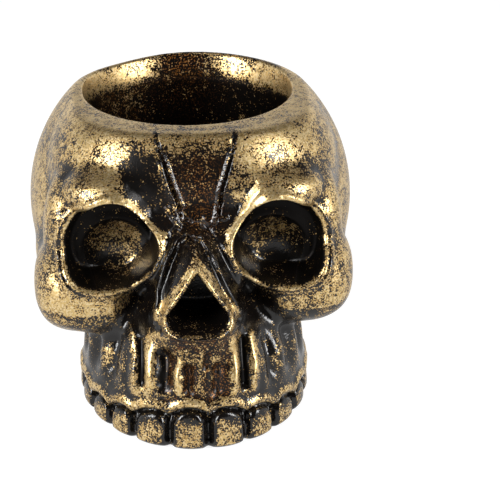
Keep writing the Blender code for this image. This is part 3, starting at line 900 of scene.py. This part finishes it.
def paint_eye(masks, points, side):
    """Blackens a socket, flecks its bowl and gilds its rim. Gives the strip beside the nose."""
    x, y, z = points.T
    edge = eye_edge(x, z, side)
    near = y < -0.010
    inside = rise(-edge / 0.0005 + 0.5) * (y < -0.014)
    out = np.hypot(side * x - EYE_BOWL_CENTRE[0], z - EYE_BOWL_CENTRE[1])
    dish = rise((EYE_BOWL_RADIUS - 0.0003 - out) / 0.0008)
    upper = rise(0.5 + (z - EYE_BOWL_CENTRE[1]) / 0.008)
    inner = rise(0.5 - (side * x - EYE_BOWL_CENTRE[0]) / 0.010)
    speckle = dish * (0.12 + 0.26 * upper + (0.20 if side < 0 else 0.06) * inner)
    speckle = speckle - 0.25 * rise((out - 0.7 * EYE_BOWL_RADIUS) / 0.002) * (1 - upper)
    masks.gold = masks.gold * (1 - inside) + inside * speckle

    rim = ridge(edge - 0.0004, 0.0005) * (1 - inside) * near
    masks.gold += (0.10 + 0.26 * rise(0.5 + (z - EYE_CENTRE_Z) / 0.005)) * rim
    brow = rise(0.5 + (z - EYE_CENTRE_Z - 0.0040) / 0.004)
    masks.gold += 0.26 * brow * ridge(edge - 0.0009, 0.0009) * (1 - inside) * near
    low, outer = low_and_outer(x, z, side)
    masks.gold -= 0.50 * np.maximum(0.7 * low, outer) * ridge(edge - 0.0012, 0.0003) * near

    # Painted shade: the socket's black mirrors nothing, and its bowl mostly keeps its gloss
    masks.dull(inside * (1 - 0.75 * dish))
    # The bowl's lower inner edge loses gold and painted shade, so the lamps' highlight shows on its
    # gloss black
    lower = EYE_BOWL_CENTRE[0] - side * x + EYE_BOWL_CENTRE[1] - z
    shine = ridge(out - 0.90 * EYE_BOWL_RADIUS, 0.0011) * rise(lower / EYE_BOWL_RADIUS)
    shine *= inside * (1.0 if side < 0 else 0.5)
    masks.matt_and_shade *= 1 - shine
    masks.gold -= 0.7 * shine

    bridge = rise((0.0100 - side * x) / 0.003) * rise((0.0420 - z) / 0.002)
    bridge = bridge * rise((z - 0.0300) / 0.002) * (y < -0.014)
    return bridge * ridge(edge - 0.0009, 0.0011) * (1 - inside)


def paint_nose(masks, points, bridges):
    """Blackens the bell round the nose and gilds the band round its opening."""
    x, y, z = points.T
    near = y < -0.022
    across = np.abs(x - NOSTRIL_CENTRE_X)
    bell = np.interp(z, BELL_HEIGHTS, BELL_HALF_WIDTHS) * STROKE_UNIT
    within = rise((bell - across) / 0.0012 + 0.5) * near
    within = within * rise((0.0425 - z) / 0.001) * rise((z - 0.0225) / 0.003)
    edge = nostril_edge(x, z)
    band = rise((0.0016 - edge) / 0.0006 + 0.5)
    top = rise((0.0020 - across) / 0.0012 + 0.3) * rise((0.0368 - z) / 0.0012) * (z > 0.031)
    band = np.maximum(band, top)
    masks.gold = masks.gold * (1 - within) + within * (0.02 + 0.60 * band)
    beside = rise((bell + 0.0016 - across) / 0.0008) * (1 - within) * near
    beside = beside * rise((0.0415 - z) / 0.001) * rise((z - 0.0225) / 0.002)
    masks.gold -= 0.55 * beside
    on_bridge = np.clip(bridges, 0, 1) * (1 - within)
    masks.gold = masks.gold + (GOLD_ON_BRIDGES - masks.gold) * on_bridge
    hole = rise(-edge / 0.0005 + 0.4) * (y < NOSE_Y)
    masks.gold -= 0.9 * hole
    # Painted shade: the black in the nose opening partly mirrors nothing
    masks.dull(0.3 * hole)
    masks.wash += 0.6 * within * band * rise((z - 0.033) / 0.003)

    for more, width, corners in BROW_STREAKS:
        off = stroke_distance(points, corners)
        masks.gold += more * ridge(off, width * STROKE_UNIT) * (y < NOSE_Y)


def paint_jaw(masks, points):
    """Darkens the jaw over the teeth, streaks its roots with gold and blackens the gaps."""
    z = points[:, 2]
    angle, aside, gum = jaw_place(points)
    jaw = on_jaw(points, angle) * (z < 0.0235)
    jaw = jaw * rise((JAW_END - np.abs(angle)) / math.radians(24))
    above = jaw * (z > gum + 0.0024)
    sideways = rise((np.abs(angle + math.radians(3)) - math.radians(26)) / math.radians(14))
    masks.gold -= (0.16 + 0.24 * sideways) * above
    masks.gold += 0.04 * ridge(z - gum - 0.0015, 0.0012) * jaw * (1 - 0.6 * sideways)
    teeth = jaw * (z < gum - 0.0002)
    high = rise((z - 0.52 * gum) / (0.35 * gum))
    masks.gold -= (0.08 + 0.52 * high + 0.9 * rise((aside - 0.55) / 0.28)) * teeth
    centre = above * rise((math.radians(17) - np.abs(angle - math.radians(1))) / 0.12 + 0.5)
    masks.wash += 0.9 * centre
    # Above the front teeth the black is also matt and mirrors nothing, so it renders darker
    masks.dull(0.6 * centre)
    masks.gold -= 0.12 * centre
    for more, width, corners in ROOT_STREAKS:
        streak = ridge(stroke_distance(points, corners), width * STROKE_UNIT) * above
        masks.gold += more * streak
        # The hollows get painted shade: their black mirrors nothing
        if more < 0:
            masks.dull(0.8 * streak)


def paint_cup(masks, points, shape):
    """Gilds a band inside the lip, with brown below it, and leaves the rest and the foot black."""
    x, y, z = points.T
    from_cup = np.hypot(x, y - CUP_CENTRE_Y)
    inside = (from_cup < CUP_OUTSIDE) & (z < shape.height - 0.0004) & (z > 0.034)
    depth = shape.height - z
    behind = rise(0.5 + 0.8 * (y - CUP_CENTRE_Y) / 0.021)
    band = rise((0.0015 + 0.0036 * behind - depth) / 0.0022 + 0.5)
    between = behind * ridge(x + 0.0005, 0.0085)
    left = behind * ridge(x + 0.0125, 0.0050) * ridge(depth - 0.0060, 0.0050)
    gold = GOLD_IN_CUP + (0.70 - 0.58 * between) * band + 0.20 * left
    wash = 0.9 * np.maximum(left, between * rise(1 - depth / 0.012))
    masks.gold = np.where(inside, gold, masks.gold)
    masks.wash = np.where(inside, wash, masks.wash)
    # Painted shade: below the gold band the cup's black mirrors nothing
    masks.matt_and_shade = np.where(inside, 1 - band, masks.matt_and_shade)
    masks.gold = np.where(z < 0.0006, GOLD_UNDERNEATH, masks.gold)


def paint_skull(skull, shape):
    """Keeps on the mesh how much gold, brown wash and matt black (painted shade in hollows) each
    point carries.
    """
    points = read_points(skull)
    masks = Masks(len(points))
    paint_head(masks, skull, points, shape)
    paint_forehead(masks, points, shape)
    bridges = sum(paint_eye(masks, points, side) for side in (-1, 1))
    paint_nose(masks, points, bridges)
    paint_jaw(masks, points)
    paint_cup(masks, points, shape)
    keep_mask(skull, "gilding", masks.gold)
    keep_mask(skull, "wash", masks.wash)
    keep_mask(skull, "matt_and_shade", masks.matt_and_shade)


def keep_mask(obj, name, values):
    mask = obj.data.attributes.new(name, "FLOAT", "POINT")
    mask.data.foreach_set("value", np.clip(values, 0, 1).astype(np.float32))


def add_node(tree, kind, at, **settings):
    node = tree.nodes.new(kind)
    node.location = at
    for name, value in settings.items():
        setattr(node, name, value)
    return node


def math_node(tree, at, operation, first, second=None, third=None, clamp=False):
    node = add_node(tree, "ShaderNodeMath", at, operation=operation, use_clamp=clamp)
    for socket, value in zip(node.inputs, (first, second, third)):
        if value is None:
            continue
        if isinstance(value, (int, float)):
            socket.default_value = value
        else:
            tree.links.new(value, socket)
    return node.outputs[0]


def noise(tree, at, size, detail=2.0, roughness=0.5, where=None):
    """A noise whose features are that many metres across."""
    node = add_node(tree, "ShaderNodeTexNoise", at, noise_dimensions="3D")
    node.inputs["Scale"].default_value = 1 / size
    node.inputs["Detail"].default_value = detail
    node.inputs["Roughness"].default_value = roughness
    tree.links.new(where, node.inputs["Vector"])
    return node.outputs["Fac"]


def mask_node(tree, at, name):
    return add_node(tree, "ShaderNodeAttribute", at, attribute_name=name).outputs["Fac"]


def mix_colour(tree, at, share, first, second):
    node = add_node(tree, "ShaderNodeMix", at, data_type="RGBA")
    tree.links.new(share, node.inputs["Factor"])
    for socket, value in ((node.inputs[6], first), (node.inputs[7], second)):
        if isinstance(value, tuple):
            socket.default_value = value
        else:
            tree.links.new(value, socket)
    return node.outputs[2]


def brushed_gold(paint):
    """Antique gold flecks dry-brushed over gloss black, with a brown wash here and there."""
    material = bpy.data.materials.new("aged_gold_resin")
    material.use_nodes = True
    tree = material.node_tree
    shader = tree.nodes["Principled BSDF"]
    shader.location = (900, 0)
    where = add_node(tree, "ShaderNodeTexCoord", (-1500, 0)).outputs["Object"]
    gilding = mask_node(tree, (-1500, 400), "gilding")
    wash = mask_node(tree, (-1500, 600), "wash")
    matt_and_shade = mask_node(tree, (-1500, -500), "matt_and_shade")

    flecks = noise(tree, (-1250, 0), paint.grain, 1.2, 0.5, where)
    streaks = noise(tree, (-1250, -200), paint.grain * 4, 3.0, 0.6, where)
    clouds = noise(tree, (-1250, -400), paint.grain * 18, 3.0, 0.55, where)
    tint = noise(tree, (-1250, -600), paint.grain * 1.2, 2.0, 0.6, where)

    cover = math_node(tree, (-1000, 300), "MULTIPLY_ADD", clouds, CLOUD_SWING, -CLOUD_SWING / 2)
    cover = math_node(tree, (-850, 300), "ADD", cover, gilding)
    swing = math_node(tree, (-1000, 150), "MULTIPLY_ADD", streaks, STREAK_SWING, -STREAK_SWING / 2)
    cover = math_node(tree, (-700, 300), "ADD", cover, swing)
    edge = math_node(tree, (-550, 300), "MULTIPLY_ADD", cover, -0.62, 0.81)
    over = math_node(tree, (-400, 200), "SUBTRACT", flecks, edge)
    gold = math_node(tree, (-250, 200), "MULTIPLY_ADD", over, FLECK_EDGE, 0.5, clamp=True)

    # Thin gold is brown, and thick gold has pale flecks
    thick = math_node(tree, (-250, 350), "MULTIPLY_ADD", over, 4.0, 0.05, clamp=True)
    tint = math_node(tree, (-1000, -600), "MULTIPLY_ADD", tint, 5.0, -2.2, clamp=True)
    tint = math_node(tree, (-850, -600), "MULTIPLY", tint, thick)
    metal = mix_colour(tree, (-550, 0), thick, (*paint.thin_gold, 1), (*paint.gold, 1))
    metal = mix_colour(tree, (-550, -100), tint, metal, (*paint.pale_gold, 1))
    brown = math_node(tree, (-1000, 600), "MULTIPLY_ADD", flecks, 11.0, -5.8, clamp=True)
    brown = math_node(tree, (-850, 600), "MULTIPLY", brown, wash)
    ground = mix_colour(tree, (-550, -300), brown, (*paint.black, 1), (*paint.rust, 1))
    colour = mix_colour(tree, (-100, -100), gold, ground, metal)
    tree.links.new(colour, shader.inputs["Base Color"])
    # Matt black mirrors nothing, like a metal that is black all through: painted shade in the
    # hollows
    bare = math_node(tree, (-250, 500), "SUBTRACT", 1.0, gold)
    bare = math_node(tree, (-100, 500), "MULTIPLY", bare, matt_and_shade)
    bare = math_node(tree, (50, 500), "MULTIPLY", bare, MATT_AND_SHADE_METALLIC)
    metallic = math_node(tree, (200, 300), "MULTIPLY_ADD", gold, GOLD_METALLIC, bare)
    tree.links.new(metallic, shader.inputs["Metallic"])
    dull = math_node(tree, (-150, -500), "MULTIPLY_ADD", matt_and_shade, MATT_ROUGHNESS, BLACK_ROUGHNESS)
    rough = math_node(tree, (-150, -650), "MULTIPLY_ADD", tint, PALE_ROUGHNESS, GOLD_ROUGHNESS)
    lift = math_node(tree, (0, -650), "SUBTRACT", rough, dull)
    rough = math_node(tree, (0, -50), "MULTIPLY_ADD", gold, lift, dull)
    tree.links.new(rough, shader.inputs["Roughness"])
    shader.inputs["Specular IOR Level"].default_value = 0.5

    grit = math_node(tree, (0, -300), "MULTIPLY", flecks, 0.5)
    grit = math_node(tree, (150, -300), "MULTIPLY_ADD", gold, 0.6, grit)
    bump = add_node(tree, "ShaderNodeBump", (400, -300))
    bump.inputs["Strength"].default_value = 0.8
    bump.inputs["Distance"].default_value = 0.00010
    tree.links.new(grit, bump.inputs["Height"])
    tree.links.new(bump.outputs["Normal"], shader.inputs["Normal"])
    return material


def lay_clay():
    lumps = [lay_lump(*lump) for lump in MIDDLE_LUMPS.values()]
    for name, (centre, radii, lean, boxiness) in SIDE_LUMPS.items():
        for side in (-1, 1):
            lift = RIGHT_CHEEK_LIFT if name == "cheek" and side > 0 else 0
            there = (side * centre[0], centre[1], centre[2] + lift)
            lumps.append(lay_lump(there, radii, lean, boxiness))
    return join(lumps + lay_jaw(), "skull")


def blend_clay(skull, shape):
    apply(skull, "REMESH", mode="VOXEL", voxel_size=shape.clay_grain)
    apply(skull, "SMOOTH", factor=SMOOTHING, iterations=CLAY_ROUNDS)
    cut_flat(skull, shape.height, above=True)
    apply(skull, "REMESH", mode="VOXEL", voxel_size=shape.clay_grain * CARVING_GRAIN_SHARE)
    apply(skull, "SMOOTH", factor=SMOOTHING, iterations=CARVING_ROUNDS)


def carve_skull(skull):
    points = read_points(skull)
    carve_head(points)
    carve_teeth(points)
    carve_nose(points)
    carve_eyes(points)
    write_points(skull, points)


def finish_skin(skull, shape):
    """Works the bored skull finer, adds its strokes and thins the mesh out."""
    apply(skull, "REMESH", mode="VOXEL", voxel_size=shape.fine_grain)
    apply(skull, "SMOOTH", factor=SMOOTHING, iterations=BORED_ROUNDS)
    points = read_points(skull)
    flare_mouth(points, shape)
    carve_strokes(points)
    write_points(skull, points)
    apply(skull, "SMOOTH", factor=STROKE_SMOOTHING, iterations=STROKE_ROUNDS)
    thin_out(skull, shape.facets)
    cut_flat(skull, 0.0, above=False)
    fit_in_box(skull)


class SKULL_OT_casting(bpy.types.Operator):
    """Model the skull from clay lumps, carve its face, bore its cup and paint it"""

    bl_idname = "skull.casting"
    bl_label = "Skull Casting"
    bl_options = {"REGISTER", "UNDO"}

    def execute(self, context):
        shape = context.scene.skull_shape
        skull = lay_clay()
        blend_clay(skull, shape)
        carve_skull(skull)
        bore_cup(skull, shape)
        finish_skin(skull, shape)
        paint_skull(skull, shape)
        choose(skull)
        bpy.ops.object.shade_smooth_by_angle(angle=SHARP_EDGE)
        skull.data.materials.clear()
        skull.data.materials.append(brushed_gold(context.scene.skull_paint))

        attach(skull, "root")
        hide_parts(NODE)
        return {"FINISHED"}


def white_for_camera(tree, plain, bright, mirrored):
    """Mixes three shaders: one for the camera, one for reflections and one that lights."""
    path = add_node(tree, "ShaderNodeLightPath", (-600, 300))
    glossy = add_node(tree, "ShaderNodeMixShader", (-100, 0))
    tree.links.new(path.outputs["Is Glossy Ray"], glossy.inputs[0])
    tree.links.new(plain, glossy.inputs[1])
    tree.links.new(mirrored, glossy.inputs[2])
    seen = math_node(
        tree,
        (-400, 300),
        "MAXIMUM",
        path.outputs["Is Camera Ray"],
        path.outputs["Is Transmission Ray"],
    )
    mix = add_node(tree, "ShaderNodeMixShader", (100, 0))
    tree.links.new(seen, mix.inputs[0])
    tree.links.new(glossy.outputs[0], mix.inputs[1])
    tree.links.new(bright, mix.inputs[2])
    return mix.outputs[0]


def white_paper():
    material = bpy.data.materials.new("white_paper")
    material.use_nodes = True
    tree = material.node_tree
    tree.nodes.clear()
    out = add_node(tree, "ShaderNodeOutputMaterial", (400, 0))
    plain = add_node(tree, "ShaderNodeBsdfDiffuse", (-400, -100))
    plain.inputs["Color"].default_value = (0.8, 0.8, 0.8, 1)
    soft = add_node(tree, "ShaderNodeBsdfDiffuse", (-400, -300))
    soft.inputs["Color"].default_value = (0.30, 0.30, 0.30, 1)
    glow = add_node(tree, "ShaderNodeEmission", (-400, -500))
    glow.inputs["Color"].default_value = (1, 1, 1, 1)
    glow.inputs["Strength"].default_value = 0.86
    both = add_node(tree, "ShaderNodeAddShader", (-200, -400))
    tree.links.new(soft.outputs[0], both.inputs[0])
    tree.links.new(glow.outputs[0], both.inputs[1])
    dim = add_node(tree, "ShaderNodeEmission", (-400, -700))
    dim.inputs["Color"].default_value = (1, 1, 1, 1)
    dim.inputs["Strength"].default_value = 0.58
    mirrored = add_node(tree, "ShaderNodeAddShader", (-200, -600))
    tree.links.new(soft.outputs[0], mirrored.inputs[0])
    tree.links.new(dim.outputs[0], mirrored.inputs[1])
    mixed = white_for_camera(tree, plain.outputs[0], both.outputs[0], mirrored.outputs[0])
    tree.links.new(mixed, out.inputs["Surface"])
    return material


def white_room():
    """A white backdrop behind the skull. The room in front of it, which shows in the gold only,
    is dim."""
    world = bpy.data.worlds.new("white_room")
    bpy.context.scene.world = world
    world.use_nodes = True
    tree = world.node_tree
    tree.nodes.clear()
    out = add_node(tree, "ShaderNodeOutputWorld", (400, 0))
    plain = add_node(tree, "ShaderNodeBackground", (-400, -100))
    plain.inputs["Strength"].default_value = 0.15
    bright = add_node(tree, "ShaderNodeBackground", (-400, -300))
    mirrored = add_node(tree, "ShaderNodeBackground", (-400, -500))
    for node in (plain, bright, mirrored):
        node.inputs["Color"].default_value = (1, 1, 1, 1)
    bright.inputs["Strength"].default_value = 1.0

    way = add_node(tree, "ShaderNodeTexCoord", (-1200, -500)).outputs["Generated"]
    axes = add_node(tree, "ShaderNodeSeparateXYZ", (-1000, -500))
    tree.links.new(way, axes.inputs[0])
    behind = math_node(tree, (-900, -500), "MULTIPLY_ADD", axes.outputs[1], 1.6, 0.45)
    aside = math_node(tree, (-1000, -700), "ABSOLUTE", axes.outputs[0])
    aside = math_node(tree, (-900, -700), "MULTIPLY_ADD", aside, 2.8, -1.15, clamp=True)
    behind = math_node(tree, (-800, -500), "ADD", behind, aside, clamp=True)
    low = math_node(tree, (-900, -900), "MULTIPLY_ADD", axes.outputs[2], -1.9, 1.25, clamp=True)
    behind = math_node(tree, (-700, -500), "MULTIPLY", behind, low)
    behind = math_node(tree, (-600, -500), "MULTIPLY_ADD", behind, 1 - ROOM_GLOW, ROOM_GLOW)
    tree.links.new(behind, mirrored.inputs["Strength"])
    mixed = white_for_camera(tree, plain.outputs[0], bright.outputs[0], mirrored.outputs[0])
    tree.links.new(mixed, out.inputs["Surface"])


def direction(turn, lift):
    """The way from the skull to what stands that far round to the side and up."""
    ahead = math.cos(lift)
    return Vector((math.sin(turn) * ahead, -math.cos(turn) * ahead, math.sin(lift)))


def softbox(name, turn, lift, reach, width, height, power):
    """Hangs a lamp that far round to the side and up, and aims it at the face."""
    way = direction(math.radians(turn), math.radians(lift))
    deselect()
    bpy.ops.object.light_add(type="AREA", location=Vector(FACE) + reach * way)
    lamp = bpy.context.object
    lamp.name = lamp.data.name = name
    lamp.data.shape = "RECTANGLE"
    lamp.data.size = width
    lamp.data.size_y = height
    lamp.data.energy = power
    lamp.rotation_euler = (-way).to_track_quat("-Z", "Y").to_euler()


class SKULL_OT_stage(bpy.types.Operator):
    """Lay the white floor, hang the softboxes and set up the camera"""

    bl_idname = "skull.stage"
    bl_label = "Stage"
    bl_options = {"REGISTER", "UNDO"}

    def execute(self, context):
        studio = context.scene.skull_studio
        deselect()
        bpy.ops.mesh.primitive_plane_add(size=FLOOR_SIZE, location=(0, 0, -0.0001))
        floor = context.object
        floor.name = floor.data.name = "floor"
        place_in_mesh(floor)
        floor.data.materials.append(white_paper())
        white_room()
        for name, turn, lift, reach, width, height, share in SOFTBOXES:
            softbox(name, turn, lift, reach, width, height, share * studio.lamp_power)

        back = direction(studio.azimuth, studio.elevation)
        deselect()
        bpy.ops.object.camera_add(location=Vector(SIGHT) + back * studio.distance)
        camera = context.object
        camera.name = camera.data.name = "camera"
        camera.data.sensor_width = SENSOR_WIDTH
        camera.data.lens = studio.lens
        camera.data.clip_start = 0.01
        # The skull stands left of the middle and above it, so the camera looks past it
        sight = (-back).to_track_quat("-Z", "Y").to_matrix()
        aside, down = (
            (PICTURE_SIZE / 2 - place) / PICTURE_SIZE * SENSOR_WIDTH / studio.lens
            for place in PICTURE_PLACE
        )
        ahead = sight @ Vector((aside, -down, -1))
        camera.rotation_euler = ahead.to_track_quat("-Z", "Y").to_euler()
        context.scene.camera = camera
        context.scene.view_settings.view_transform = "Standard"
        return {"FINISHED"}


class SKULL_PT_panel(bpy.types.Panel):
    bl_idname = "SKULL_PT_panel"
    bl_label = "Skull Candle Holder"
    bl_space_type = "VIEW_3D"
    bl_region_type = "UI"
    bl_category = "Skull Holder"

    def draw(self, context):
        for name in ("skull_shape", "skull_paint", "skull_studio"):
            group = getattr(context.scene, name)
            column = self.layout.column()
            for prop in type(group).__annotations__:
                column.prop(group, prop)
        self.layout.operator(SKULL_OT_casting.bl_idname)
        self.layout.operator(SKULL_OT_stage.bl_idname)


CLASSES = (SkullShape, SkullPaint, SkullStudio, SKULL_OT_casting, SKULL_OT_stage, SKULL_PT_panel)


def register():
    for cls in CLASSES:
        bpy.utils.register_class(cls)
    bpy.types.Scene.skull_shape = PointerProperty(type=SkullShape)
    bpy.types.Scene.skull_paint = PointerProperty(type=SkullPaint)
    bpy.types.Scene.skull_studio = PointerProperty(type=SkullStudio)


def unregister():
    del bpy.types.Scene.skull_studio
    del bpy.types.Scene.skull_paint
    del bpy.types.Scene.skull_shape
    for cls in reversed(CLASSES):
        bpy.utils.unregister_class(cls)


def main():
    register()
    bpy.ops.skull.casting()
    bpy.ops.skull.stage()


if __name__ == "__main__":
    main()
